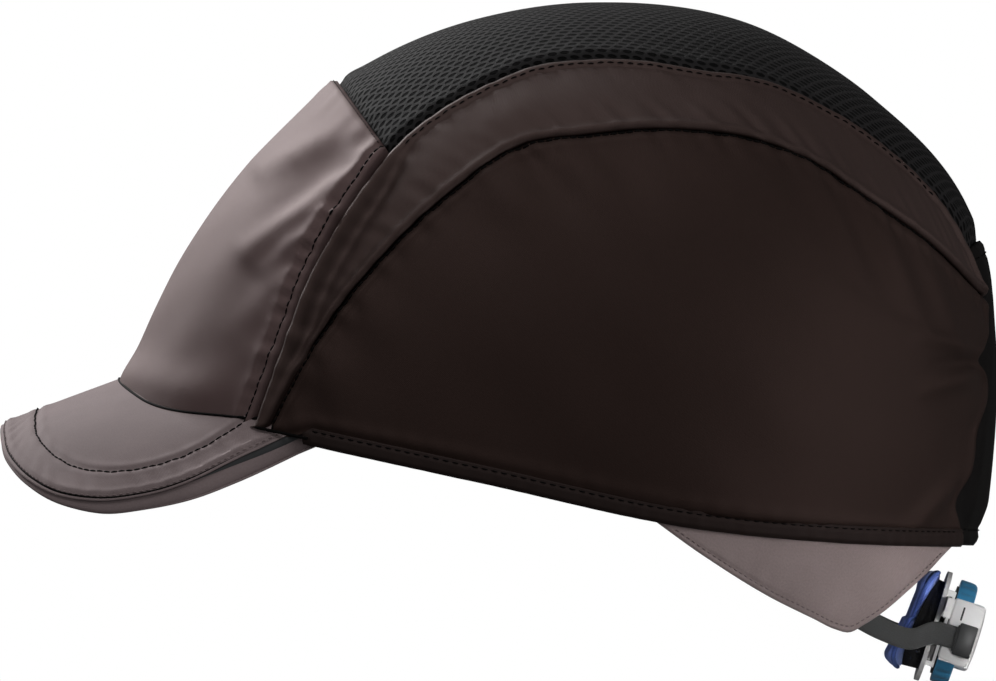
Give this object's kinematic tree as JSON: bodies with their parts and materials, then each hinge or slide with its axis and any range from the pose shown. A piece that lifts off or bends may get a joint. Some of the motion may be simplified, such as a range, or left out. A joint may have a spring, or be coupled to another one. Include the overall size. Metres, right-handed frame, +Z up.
{
  "type": "bump cap",
  "caption": "Fabric bump cap with a short stitched peak, mesh top, inner impact shell and pads, nape flaps and a geared dial size adjuster on elastic straps.",
  "frame": {"origin": "centre of the head opening, level with the sides of the hem", "axes": "+Z up out of the crown, -Y towards the peak, +X towards the wearer's left; the cap lies as it is worn with its hem lower at the nape"},
  "size_m": [0.1902, 0.2716, 0.1868],
  "materials": {
    "shell_cloth": "woven, soft sheen",
    "side_cloth": "woven, soft sheen",
    "mesh_cloth": "open spacer mesh, matt",
    "black_cloth": "plain weave, matt",
    "trim_cloth": "plain weave, matt",
    "elastic": "ribbed elastic webbing",
    "foam": "closed-cell foam, matt",
    "nape_cloth": "brushed lining, matt",
    "shell_plastic": "moulded, fine grain",
    "grey_plastic": "satin moulded",
    "teal_plastic": "satin moulded",
    "dark_plastic": "moulded",
    "screw_steel": "zinc plated"
  },
  "bodies": {
    "cap": {"front_panel": "shell_cloth", "side_band_left": "shell_cloth", "side_band_right": "shell_cloth", "side_panel_left": "side_cloth", "side_panel_right": "side_cloth", "hem_band_left": "side_cloth", "hem_band_right": "side_cloth", "mesh_panel": "mesh_cloth", "rear_panel": "black_cloth", "sweatband": "black_cloth", "loop_tabs": "black_cloth", "peak_top_cover": "trim_cloth", "peak_under_cover": "trim_cloth", "peak_edge_piping": "trim_cloth", "nape_flap_left": "trim_cloth", "nape_flap_right": "trim_cloth", "flap_lining_left": "trim_cloth", "flap_lining_right": "trim_cloth", "crown_pad": "foam", "front_pad": "foam", "rear_pad": "foam", "side_pad_left": "foam", "side_pad_right": "foam", "nape_pad_foam": "foam", "nape_pad_cover": "nape_cloth", "inner_shell": "shell_plastic", "peak_board": "shell_plastic", "hook_tabs": "shell_plastic", "adjuster_base": "grey_plastic", "track_cover": "grey_plastic", "ratchet_ring": "dark_plastic", "dial_screw": "screw_steel"},
    "dial": {"pinion": "dark_plastic", "dial_skirt": "teal_plastic", "dial_hub": "grey_plastic", "pawl_spring": "dark_plastic"},
    "slider_left": {"rack_slider_left": "grey_plastic", "strap_keeper_left": "dark_plastic", "strap_left": "elastic"},
    "slider_right": {"rack_slider_right": "grey_plastic", "strap_keeper_right": "dark_plastic", "strap_right": "elastic"}
  },
  "joints": [
    {"name": "dial_turn", "type": "hinge", "parent": "cap", "child": "dial", "pos_m": [0, 0.1039, -0.0404], "axis": [0, 0.9527, -0.304], "range_deg": [-143, 128.9]},
    {"name": "slider_left_slide", "type": "slide", "parent": "cap", "child": "slider_left", "axis": [1, 0, 0], "range_m": [-0.01, 0.009], "deforming": ["strap_left"]},
    {"name": "slider_right_slide", "type": "slide", "parent": "cap", "child": "slider_right", "axis": [-1, 0, 0], "range_m": [-0.01, 0.009], "deforming": ["strap_right"]}
  ],
  "couplings": [
    {"joint": "slider_left_slide", "follows": "dial_turn", "m_per_rad": 0.004},
    {"joint": "slider_right_slide", "follows": "dial_turn", "m_per_rad": 0.004}
  ]
}
